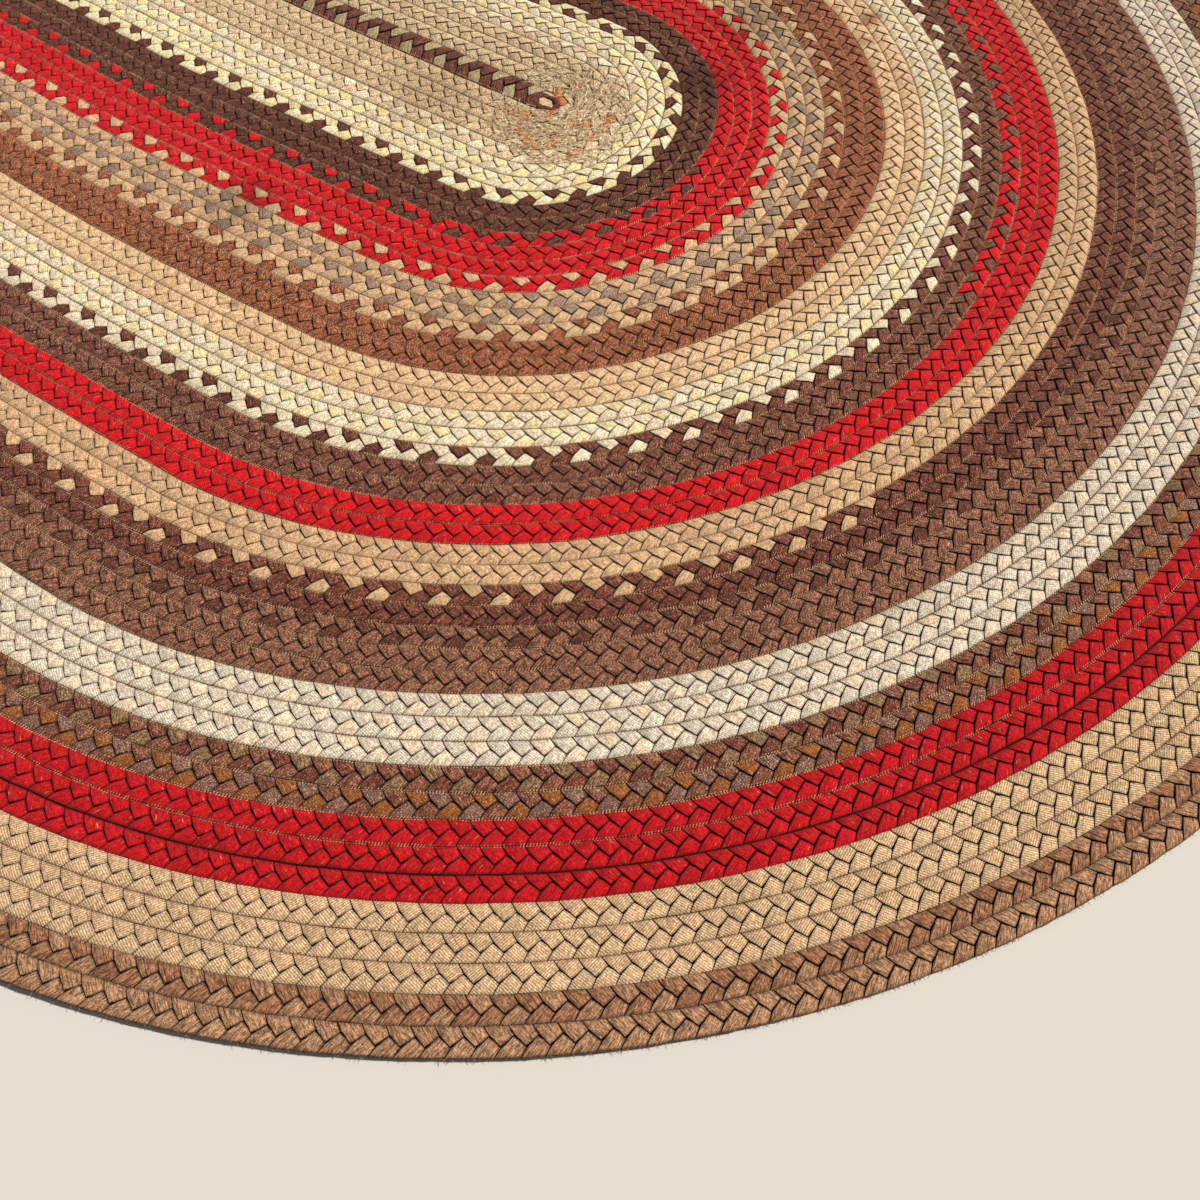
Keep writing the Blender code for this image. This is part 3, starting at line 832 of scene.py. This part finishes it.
def wool_group():
    """What every strip has: fibres, ribs, flecks, its own tint, sewing thread, painted shade in crevices,
    wear and soil.
    """
    tree = bpy.data.node_groups.new("wool_strip", "ShaderNodeTree")
    put = partial(add, tree)
    for name in ("Base", "Fleck"):
        tree.interface.new_socket(name, in_out="INPUT", socket_type="NodeSocketColor")
    for name in WOVEN:
        tree.interface.new_socket(name, in_out="INPUT", socket_type="NodeSocketFloat")
    tree.interface.new_socket("Colour", in_out="OUTPUT", socket_type="NodeSocketColor")
    tree.interface.new_socket("Relief", in_out="OUTPUT", socket_type="NodeSocketFloat")
    given = put("NodeGroupInput").outputs
    at = put("ShaderNodeTexCoord").outputs["Object"]
    strand = put("ShaderNodeSeparateXYZ", (put("ShaderNodeUVMap", uv_map="strand"),)).outputs
    row_at = put(READ, attribute_name="row_at").outputs["Vector"]
    row = put("ShaderNodeSeparateXYZ", (row_at,)).outputs
    lobe = {
        name: put(READ, attribute_name=name).outputs["Fac"]
        for name in ("seed", "inner", "rim", "thread", "seam", "bare", "lighter_crevices")
    }
    pattern = {
        name: put(NOISE, {"Vector": at, "Scale": 1 / (size * MM), "Detail": detail})
        for name, (size, detail) in PATTERNS.items()
    }
    grain, coarse = pattern["yarns"], pattern["patches"]
    layers = []  # laid over the base colour in this order: factor, colour, way of mixing

    def product(value, *others):
        """Several values multiplied, one after the other."""
        for other in others:
            value = put(TIMES, (value, other))
        return value

    def either_way(value, by):
        """Darkens by a noise's low places and lightens by its high ones."""
        darkest = put(MINUS, (1.0, by))
        lightest = put(PLUS, (1.0, by))
        return put(SMOOTH, (value, 0.32, 0.68, darkest, lightest))

    def drawn_out(size, times, apart, detail):
        """A pattern that is drawn out along the strand and starts anew on each lobe."""
        along = put(OVER, (strand[0], times))
        own = put(TIMES, (lobe["seed"], apart))
        place = put(XYZ, (along, strand[1], own))
        return put(NOISE, {"Vector": place, "Scale": 1 / (size * MM), "Detail": detail})

    # Fibres lie along the strand, and the ribs of its weave across it
    fibres = drawn_out(*FIBRE_STREAKS)
    waver = put(TIMES, (put(MINUS, (coarse, 0.5)), 4.0))
    in_mm = put(OVER, (strand[0], MM))
    in_ribs = put(OVER, (in_mm, given["Rib"]))
    turns = put(TIMES_PLUS, (in_ribs, math.tau, waver))
    wave = put(TIMES_PLUS, (put(SINE, (turns,)), 0.5, 0.5))
    bridged = put(SMOOTH, (fibres, 0.35, 0.65, 0.6, 1.0))
    ribbed = product(wave, bridged, given["Ribbed"])
    on_rib = put(MINUS, (1.0, ribbed))
    patches = put(SMOOTH, (coarse, 0.30, 0.70, 0.88, 1.12))

    # Flecks of another yarn, more of them on the inner column, whose lobes are also a little darker
    rough = put(TIMES_PLUS, (lobe["inner"], 0.04, pattern["flecks"]))
    flecked = put(TIMES, (put(SMOOTH, (rough, 0.58, 0.68)), given["Flecks"]))
    inner_tone_share = put(TIMES, (lobe["inner"], 0.5))
    layers.append((flecked, given["Fleck"], "MIX"))
    layers.append((1.0, put(READ, attribute_name="tint").outputs["Color"], "MULTIPLY"))
    layers.append((inner_tone_share, INNER_COLUMN_TONE, "MULTIPLY"))

    # Lint lies on it in short pale scratches
    lint = put(SMOOTH, (drawn_out(*LINT_SCRATCHES), 0.76, 0.82, 0.0, 0.22))
    layers.append((lint, linear("#E2C8AE"), "MIX"))

    # Some strips have a fold along them, each in its own place. Its crease is painted darker: painted shade
    chance = put(FRACTION, (put(TIMES, (lobe["seed"], 7.3)),))
    fold_at = put(TIMES_PLUS, (chance, -11 * MM, -12 * MM))
    wavering = put(TIMES_PLUS, (coarse, 2 * MM, strand[1]))
    off_fold = put(ABSOLUTE, (put(MINUS, (wavering, fold_at)),))
    fold_line = put(SMOOTH, (off_fold, 0.9 * MM, 0.2 * MM))
    drawn = put(PLUS, (lobe["seed"], given["Folds"]))
    folded = put(ABOVE, (drawn, 1.0))
    fold = put(TIMES, (fold_line, folded))
    fold_shade = put(TIMES_PLUS, (fold, -0.35, 1.0))

    # Painted shade: towards its rim a lobe's colour is darkened, for the shade down in the crevice where it
    # turns away from the light. This painted shade is deepest in dark wool, and lifted a little in red wool
    away = put("ShaderNodeVectorMath operation=DISTANCE", (at, (*rug_place(*WORN_AT), 0.0))).outputs["Value"]
    frayed = put(SMOOTH, (away, WORN_REACH, WORN_REACH / 3))
    bright = put("ShaderNodeRGBToBW", (given["Base"],))
    red = put("ShaderNodeSeparateColor", (given["Base"],)).outputs["Red"]
    redness = put(MINUS, (red, bright))
    red_shade_lift = put(TIMES, (put(POWER, (redness, 2.0)), 0.7))
    shade_lift = put(TIMES_PLUS, (put(POWER, (bright, 3.0)), 1.9, red_shade_lift))
    in_frayed = put(TIMES_PLUS, (frayed, 0.15, shade_lift))
    # Painted shade is lifted on the inner laps, more in bright wool
    lighter_crevice_lift = put(TIMES, (bright, 0.10))
    least = put(TIMES_PLUS, (lobe["lighter_crevices"], lighter_crevice_lift, in_frayed))
    steep = put(HIGHER, (put(TIMES_PLUS, (bright, -4.0, 3.0)), 1.4))
    inside = put(MINUS, (1.0, lobe["rim"]))
    shaded = put(POWER, (inside, steep), use_clamp=True)
    painted_crevice_shade = put(HIGHER, (shaded, least))

    # The seam between two rows is a broken dark line of painted shade in its groove, wider where no thread
    # holds it
    to_middle = put(ABSOLUTE, (row[1],))
    inward = put(TIMES, (put(MINUS, (0.5, to_middle)), ROW))
    on_top = put(SMOOTH, (row[2], 5 * MM, 7 * MM))
    unsewn = put(MINUS, (1.0, lobe["thread"]))
    seam_reach = put(TIMES_PLUS, (unsewn, 0.9 * MM, 1.1 * MM))
    seam_line = put(SMOOTH, (inward, seam_reach, 0.1 * MM))
    seam = product(seam_line, put(SMOOTH, (grain, 0.30, 0.50)), on_top, lobe["seam"])
    off_seam = put(MINUS, (1.0, seam))

    # All that lightens or darkens the cloth, the painted shade of crevices, seams and folds among it
    mottled = either_way(grain, given["Grain"])
    streaked = either_way(fibres, given["Fibres"])
    depth = product(mottled, streaked, on_rib, patches, fold_shade, painted_crevice_shade, off_seam)
    layers.append((1.0, put("ShaderNodeCombineColor", (depth, depth, depth)).outputs[0], "MULTIPLY"))

    # Over it lies the sewing thread, in slanting stitches that sink into the wool here and there
    side = put(TIMES_PLUS, (lobe["inner"], 2.0, -1.0))
    outward = put(TIMES, (inward, side))
    slanted = put(TIMES_PLUS, (outward, THREAD_SLANT, row[0]))
    step = put(OVER, (slanted, THREAD_PITCH))
    in_step = put(MINUS, (put(FRACTION, (step,)), 0.5))
    off_stitch = put(ABSOLUTE, (in_step,))
    stitch_edge = (THREAD_SHARE / 2 + THREAD_SOFT, THREAD_SHARE / 2 - THREAD_SOFT)
    stitch = put(SMOOTH, (off_stitch, *stitch_edge))
    stitch_number = put(FLOOR, (step,))
    chance = put("ShaderNodeTexWhiteNoise", {"W": stitch_number}, noise_dimensions="1D").outputs["Value"]
    sunk_alone = put(SMOOTH, (chance, 0.05, 0.45, 0.25, 1.0))
    sunk_together = put(SMOOTH, (pattern["sunk thread"], 0.34, 0.54, 0.15, 1.0))
    sunk = put(TIMES, (sunk_alone, sunk_together))
    from_seam = put(TIMES_PLUS, (grain, -0.9 * MM, inward))
    near = put(SMOOTH, (from_seam, THREAD_REACH - 0.4 * MM, THREAD_REACH - 0.8 * MM))
    laid = put(TIMES, (stitch, sunk))
    near_top = put(TIMES, (near, on_top))
    thread = product(laid, near_top, lobe["thread"])
    # On dark cloth the thread has its own tan; on light cloth it is painted dark brown, as painted shade of
    # the groove it lies in
    on_light = put(SMOOTH, (bright, 0.25, 0.55))
    thread_colour_and_shade = put(MIX, {0: on_light, 6: linear("#CDA27C"), 7: linear("#6E4830")}).outputs[2]
    layers.append((put(TIMES, (thread, 0.9)), thread_colour_and_shade, "MIX"))

    # Bare places, where the rust-coloured filling shows, and the frayed place's grey specks
    torn_at = put(TIMES_PLUS, (lobe["rim"], 0.8, fibres))
    torn = put(SMOOTH, (torn_at, 0.72, 0.62))
    layers.append((product(lobe["bare"], torn, 0.95), linear("#B4672F"), "MIX"))
    specks = put(SMOOTH, (pattern["specks"], 0.36, 0.27))
    layers.append((product(frayed, specks, 0.55), linear("#54402C"), "MIX"))

    # Soil: wide uneven greying, and separate marks
    soil = put(SMOOTH, (pattern["soil"], 0.45, 0.75, 0.0, 0.16))
    layers.append((soil, linear("#B8AC9A"), "MULTIPLY"))
    for x, y, size, strength, stain in STAINS:
        gone = put("ShaderNodeVectorMath operation=DISTANCE", (at, (*rug_place(x, y), 0.0))).outputs["Value"]
        edge = put(TIMES_PLUS, (pattern["ragged stains"], size * 1.2, gone))
        spot = put(SMOOTH, (edge, size * 1.7, size * 0.8))
        soiled = put(TIMES, (spot, strength))
        layers.append((soiled, linear(stain), "MULTIPLY" if size > WIDE_STAIN else "MIX"))

    colour = given["Base"]
    for factor, over, way in layers:
        colour = put(MIX, {0: factor, 6: colour, 7: over}, blend_type=way).outputs[2]

    fibre_relief = put(TIMES, (fibres, 0.5))
    raised = put(TIMES_PLUS, (grain, 0.7, fibre_relief))
    fold_relief = put(TIMES, (fold, 0.8))
    sunken = put(PLUS, (ribbed, fold_relief))
    cloth_relief = put(MINUS, (raised, sunken))
    thread_relief = put(TIMES, (thread, 0.6))
    put("NodeGroupOutput", (colour, put(PLUS, (cloth_relief, thread_relief))))
    return tree


def wool(name, group):
    """Wool cloth: quite matt, with a faint sheen of fibres at grazing angles, and its own ribs and flecks."""
    base, fleck, weave = CLOTHS[name]
    *woven, bump = WEAVES[weave]
    material, tree, shader = matt_material(name, roughness=0.95, specular=0.10)
    values = {"Base": linear(base), "Fleck": linear(fleck), **dict(zip(WOVEN, woven))}
    strip = add(tree, "ShaderNodeGroup", values, node_tree=group)
    relief = {"Height": strip.outputs["Relief"], "Strength": bump, "Distance": 0.5 * MM}
    tree.links.new(strip.outputs["Colour"], shader.inputs["Base Color"])
    tree.links.new(add(tree, "ShaderNodeBump", relief).outputs[0], shader.inputs["Normal"])
    shader.inputs["Sheen Weight"].default_value = 0.04
    shader.inputs["Sheen Roughness"].default_value = 0.6
    return material


def core_shade_wool():
    """The strips' folded inner layers: dull wool painted near black, as painted shade, since it only shows
    deep between the lobes.
    """
    material, tree, shader = matt_material("folded_core_painted_shade", roughness=1.0, specular=0.05)
    at = add(tree, "ShaderNodeTexCoord").outputs["Object"]
    fibres = add(tree, NOISE, {"Vector": at, "Scale": 1 / (2 * MM)})
    shade = add(tree, MIX, {0: fibres, 6: linear("#170F0A"), 7: linear("#2E1F15")})
    tree.links.new(shade.outputs[2], shader.inputs["Base Color"])
    return material


def fibre_wool(name, dull, bright):
    """Single wool fibres: matt, from dull to bright, each its own way."""
    material, tree, shader = matt_material(name, roughness=0.9, specular=0.15)
    at = add(tree, "ShaderNodeTexCoord").outputs["Object"]
    varied = add(tree, NOISE, {"Vector": at, "Scale": 1 / (6 * MM), "Detail": 1.0})
    spread = add(tree, RANGE, (varied, 0.35, 0.65))
    shade = add(tree, MIX, {0: spread, 6: linear(dull), 7: linear(bright)})
    tree.links.new(shade.outputs[2], shader.inputs["Base Color"])
    return material


# ---- Making the rug ----


def core_sheet():
    """The core between the upper lobes and the underside's pads, as one closed flat piece."""
    rim = on_edge(path_laps, path_places)
    ring = (path - across / 2)[rim]
    tail = path_laps[rim] > LAPS
    order = np.concatenate([ring[tail], ring[~tail]])[::CORE_STEP]
    ahead = np.roll(order, -1, axis=0) - np.roll(order, 1, axis=0)
    ahead /= np.hypot(*ahead.T)[:, None]
    order = order + np.column_stack([-ahead[:, 1], ahead[:, 0]]) * CORE_INSET
    n = len(order)
    points = [(x, y, z) for z in (CORE_TOP, CORE_FOOT) for x, y in order.tolist()]
    faces = [tuple(range(n)), tuple(range(2 * n - 1, n - 1, -1))]
    faces += [(i, n + i, n + (i + 1) % n, (i + 1) % n) for i in range(n)]
    return mesh_object("folded_core", points, faces)


def strip_tints(number, rng):
    """Each lobe's own tint. A strand is sewn together from strips, and each strip is dyed a little apart."""
    tint = np.zeros((len(number), 2))
    for strand in range(3):
        mine = np.flatnonzero(number % 3 == strand)
        ends = np.cumsum(rng.integers(*STRIP_LOBES, len(mine) // STRIP_LOBES[0] + 1))
        strip = np.searchsorted(ends, np.arange(len(mine)), side="right")
        tint[mine] = rng.normal(0.0, 1.0, (strip.max() + 1, 2))[strip] * STRIP_SPREAD
    tint += rng.normal(0.0, 1.0, tint.shape) * LOBE_SPREAD
    level, pink = 1 + tint[:, 0], tint[:, 1]
    return level[:, None] * np.column_stack([1 + pink, 1 - 0.6 * pink, 1 - 0.3 * pink])


def end_loop(strand_wool, filling_wool):
    """The strand's loop at the end of the centre row: a twisted ring, with light wool pressed into it."""
    points, faces, strand = [], [], []
    for i in range(LOOP_STEPS):
        a = math.tau * i / LOOP_STEPS
        out = Vector((math.cos(a) / LOOP_REACH[0], math.sin(a) / LOOP_REACH[1])).normalized()
        lift = LOOP_WAVE * math.sin(2 * a + 0.7)
        for k in range(LOOP_SIDES):
            b = math.tau * k / LOOP_SIDES
            twist = LOOP_TWISTED * math.cos(2 * b - LOOP_TWISTS * a)
            full = 1 + twist + LOOP_SWELL * math.sin(3 * a)
            x = LOOP_REACH[0] * math.cos(a) + out.x * LOOP_STRAND[0] * math.cos(b) * full
            y = LOOP_REACH[1] * math.sin(a) + out.y * LOOP_STRAND[0] * math.cos(b) * full
            z = LOOP_HEIGHT + lift + LOOP_STRAND[1] * math.sin(b) * full
            points.append((*rug_place(x + LOOP_AT[0], y + LOOP_AT[1]), z))
            strand.append((a * LOOP_REACH[0], b * LOOP_STRAND[0]))
            here, after = i * LOOP_SIDES, (i + 1) % LOOP_STEPS * LOOP_SIDES
            beside = (k + 1) % LOOP_SIDES
            faces.append((here + k, after + k, after + beside, here + beside))
    ring = len(faces)
    first = len(points)
    for i in range(LOOP_STEPS):
        a = math.tau * i / LOOP_STEPS
        x = FILLING_REACH[0] * math.cos(a) + LOOP_AT[0]
        y = FILLING_REACH[1] * math.sin(a) + LOOP_AT[1]
        points.append((*rug_place(x, y), FILLING_EDGE))
        faces.append((first + i, first + (i + 1) % LOOP_STEPS, first + LOOP_STEPS))
    points.append((*rug_place(*LOOP_AT), LOOP_FILLING))
    strand += [p[:2] for p in points[first:]]
    made = mesh_object("centre_end_loop", points, faces)
    plain = [1.0] * 3 * len(points)
    made.data.attributes.new("tint", "FLOAT_VECTOR", "POINT").data.foreach_set("vector", plain)
    layer = made.data.uv_layers.new(name="strand")
    for loop in made.data.loops:
        layer.uv[loop.index].vector = strand[loop.vertex_index]
    made.data.materials.append(strand_wool)
    made.data.materials.append(filling_wool)
    for face in made.data.polygons:
        face.material_index = int(face.index >= ring)
    return made


def loose_fibres(name, roots, headings, lengths, rises, rng):
    """Wool fibres that stand out of the cloth: thin three-sided ones, bent over, each ending in a point."""
    points, faces = [], []
    for root, heading, length, rise in zip(roots, headings, lengths, rises):
        bend = rng.uniform(-FIBRE_BEND, FIBRE_BEND)
        base = len(points)
        at = np.array(root)
        for k, share in enumerate(FIBRE_STATIONS):
            a = heading + bend * share
            way = np.array([math.cos(a), math.sin(a), 0.0])
            if k:
                at = at + way * length * (share - FIBRE_STATIONS[k - 1])
            height = root[2] + rise * math.sin(math.pi * min(0.85, share))
            if k == len(FIBRE_STATIONS) - 1:
                points.append((at[0], at[1], height))
                break
            thick = FIBRE_RADIUS[name] * (1 - FIBRE_TAPER * share)
            side = np.array([-way[1], way[0], 0.0]) * thick
            points += [(*(at - side)[:2], height), (*(at + side)[:2], height)]
            points.append((at[0], at[1], height + 1.5 * thick))
        faces.append((base, base + 1, base + 2))
        for k in range(len(FIBRE_STATIONS) - 2):
            for j in range(3):
                low, high = base + 3 * k + j, base + 3 * k + (j + 1) % 3
                faces.append((low, low + 3, high + 3, high))
        tip = base + 3 * (len(FIBRE_STATIONS) - 1)
        faces += [(tip - 3 + j, tip, tip - 3 + (j + 1) % 3) for j in range(3)]
    made = mesh_object(name, points, faces)
    made.data.materials.append(fibre_wool(name + "_wool", *FIBRE_COLOURS[name]))
    return made


def frayed_fibres(rng):
    """Fibres over the frayed place. They lie more or less along the rows, and none over the centre row."""
    far = WORN_REACH * 0.95 * rng.uniform(0.0, 1.0, FRAYED_FIBRES) ** 0.6
    a = rng.uniform(0.0, math.tau, FRAYED_FIBRES)
    x = WORN_AT[0] + far * np.cos(a)
    y = WORN_AT[1] + far * np.sin(a)
    free = (np.abs(y - LOOP_AT[1]) > 0.9 * ROW) | (x > LOOP_AT[0] + 1.2 * ROW)
    x, y = x[free], y[free]
    turning = x > CENTRE / 2
    along_row = np.where(turning, np.arctan2(y, x - CENTRE / 2) + math.pi / 2, 0.0)
    headings = along_row + math.pi * rng.integers(0, 2, len(x))
    headings += rng.normal(0.0, FIBRE_STRAY["frayed_fibres"], len(x))
    lengths = rng.uniform(*FIBRE_LENGTH["frayed_fibres"], len(x)) * MM
    roots = np.column_stack([*rug_place(x, y), np.full(len(x), FRAYED_HEIGHT)])
    rises = rng.uniform(*FIBRE_RISE["frayed_fibres"], len(x)) * MM
    return loose_fibres("frayed_fibres", roots, headings, lengths, rises, rng)


def edge_fibres(rng):
    """Short fibres that stand out from the outer edge."""
    outer = path - across / 2
    ring = np.flatnonzero(path_laps >= LAPS)
    pick = rng.integers(ring[0], ring[-1], EDGE_FIBRES)
    way = across[pick] / np.hypot(*across[pick].T)[:, None]
    inside = rng.uniform(0.0, EDGE_DEPTH, EDGE_FIBRES) * MM
    along_edge = (outer[pick + 1] - outer[pick]) * rng.uniform(0.0, 1.0, EDGE_FIBRES)[:, None]
    heights = rng.uniform(*EDGE_HEIGHTS, EDGE_FIBRES) * MM
    roots = np.column_stack([outer[pick] + along_edge + way * inside[:, None], heights])
    headings = np.arctan2(-way[:, 1], -way[:, 0]) + rng.normal(0.0, FIBRE_STRAY["edge_fibres"], EDGE_FIBRES)
    lengths = rng.uniform(*FIBRE_LENGTH["edge_fibres"], EDGE_FIBRES) * MM
    rises = rng.uniform(*FIBRE_RISE["edge_fibres"], EDGE_FIBRES) * MM
    return loose_fibres("edge_fibres", roots, headings, lengths, rises, rng)


def braided_in(number, laps, places):
    """The cloth of each lobe, by the plan."""
    late = LATE_BY_STRAND * (number % 3) + (LATE_BY_LAP * laps) % LATEST
    planned = np.where(places < TURN_BELOW, places - TURN_START - late, places)
    starts = np.array([lap * LAP_KEY + place for lap, place, *_ in BRAID_PLAN])
    section = np.searchsorted(starts, laps * LAP_KEY + planned, side="right") - 1
    strands = np.array([[CLOTH_NAMES.index(c) for c in row[2:]] for row in BRAID_PLAN])
    return strands[section, number % 3]


group = wool_group()
materials = [wool(name, group) for name in CLOTH_NAMES]
rng = np.random.default_rng(SEED)
number, along, stretch, laps, places = lobe_table()
inner_column = number % 2
kind = np.where(inner_column, 1, np.where(on_edge(laps, places), 2, 0))  # a place in LOBES
seam_beside = laps - inner_column  # the lap inside the seam that the lobe is beside
lobe_at = path[np.searchsorted(walked, along + CROSSING * ROW * stretch)]
from_worn = np.hypot(*(lobe_at - rug_place(*WORN_AT)).T)
worn_through = rng.uniform(0.0, 1.0, len(along)) < BARE_SHARE
columns = {
    "along": (along, "FLOAT"),
    "stretch": (stretch, "FLOAT"),
    "kind": (kind, "INT"),
    "cloth": (braided_in(number, laps, places), "INT"),
    "tint": (strip_tints(number, rng), "FLOAT_VECTOR"),
    "seed": (rng.uniform(0.0, 1.0, len(along)), "FLOAT"),
    "inner": (inner_column, "FLOAT"),
    "lift": (rng.normal(0.0, LIFT_SPREAD, len(along)) + CENTRE_LIFT * (laps == 0), "FLOAT"),
    "open": (seam_beside == OPEN_SEAM, "FLOAT"),
    "thread": (np.array([THREAD_SHOWN_AT.get(s, THREAD_SHOWN) for s in seam_beside]), "FLOAT"),
    "seam": (np.array([SEAM_SHADE_AT.get(s, SEAM_SHADE) for s in seam_beside]), "FLOAT"),
    "bare": (worn_through & (from_worn < BARE_REACH * WORN_REACH) & (laps > 0), "FLOAT"),
    "lighter_crevices": (laps <= LIGHTER_CREVICE_LAPS, "FLOAT"),
}
path_line = path_object()
lobes = [
    lobe_shape("outer_lobe", OUTER_COLUMN, INNER_COLUMN),
    lobe_shape("inner_lobe", INNER_COLUMN, OUTER_COLUMN, mirrored=True),
    lobe_shape("edge_lobe", OUTER_COLUMN, INNER_COLUMN, edge=True),
]
rows = []
for name, (first, last) in PIECES.items():
    chosen = (laps >= first) & (laps <= last)
    rows.append(lay_rows(name, chosen, columns, path_line, lobes, materials))
for helper in (path_line, *lobes):
    bpy.data.objects.remove(helper, do_unlink=True)

core = core_sheet()
# Its material is painted near black: painted shade between the lobes
core.data.materials.append(core_shade_wool())
loop_wools = [materials[CLOTH_NAMES.index(name)] for name in ("maroon_melton", "oat_tweed")]
rows += [end_loop(*loop_wools), frayed_fibres(rng), edge_fibres(rng)]
for piece in (core, *rows):
    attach(piece, "root")
    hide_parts(NODE)


# ---- Floor, light and camera ----

FLOOR_SIDE = 9.0  # half of it
FLOOR_DROP = 0.3 * MM  # a little below the rug, so that the two don't share a plane


def stage_floor():
    side = FLOOR_SIDE
    corners = [(-side, -side, 0.0), (side, -side, 0.0), (side, side, 0.0), (-side, side, 0.0)]
    floor = mesh_object("pale_floor", corners, [(0, 1, 2, 3)])
    floor.location.z = -FLOOR_DROP
    # Matt paint, pale and even
    paint, _, shader = matt_material("pale_matt_paint", roughness=0.9, specular=0.5)
    shader.inputs["Base Color"].default_value = linear("#C2BFB9")
    floor.data.materials.append(paint)


def main_light(azimuth, elevation, strength, spread, colour):
    """The studio's main light, from one side. Its azimuth is counted from the rug's +X end."""
    light = bpy.data.lights.new("main_light", "SUN")
    light.energy = strength
    light.angle = math.radians(spread)
    light.color = linear(colour)[:3]
    level = math.cos(math.radians(elevation))
    a = math.radians(azimuth)
    way = Vector((math.cos(a) * level, math.sin(a) * level, math.sin(math.radians(elevation))))
    made = new_object("main_light", light)
    made.location = way * 6.0  # a sun's distance doesn't change its light
    made.rotation_euler = way.to_track_quat("Z", "Y").to_euler()


# The camera stands over the rug's visible end and looks down and back along it
CAMERA_AT = (1.2625 - MIDDLE[0], -1.1373 - MIDDLE[1], 1.0438 + 0.0110)
LOOK_DOWN = math.radians(63.49)
HEADING = (-0.5210, 0.8536)
ROLL = math.radians(-0.58)
LENS = 30.0
SENSOR = 36.0


def camera():
    ahead = Vector((HEADING[0], HEADING[1], 0.0))
    right = Vector((HEADING[1], -HEADING[0], 0.0))
    forward = ahead * math.cos(LOOK_DOWN) - Vector((0, 0, math.sin(LOOK_DOWN)))
    down = -ahead * math.sin(LOOK_DOWN) - Vector((0, 0, math.cos(LOOK_DOWN)))
    x = right * math.cos(ROLL) + down * math.sin(ROLL)
    y = right * math.sin(ROLL) - down * math.cos(ROLL)
    data = bpy.data.cameras.new("camera")
    data.lens = LENS
    data.sensor_width = SENSOR
    data.sensor_fit = "HORIZONTAL"
    made = new_object("camera", data)
    made.matrix_world = Matrix.Translation(CAMERA_AT) @ Matrix((x, y, -forward)).transposed().to_4x4()
    bpy.context.scene.camera = made


stage_floor()
main_light(azimuth=50, elevation=47, strength=5.4, spread=5, colour="#FFF8ED")
world = bpy.data.worlds.new("studio")
world.use_nodes = True
background = world.node_tree.nodes["Background"]
background.inputs[0].default_value = linear("#E9EEF4")
background.inputs[1].default_value = 0.24
bpy.context.scene.world = world
bpy.context.scene.view_settings.view_transform = "Standard"
camera()
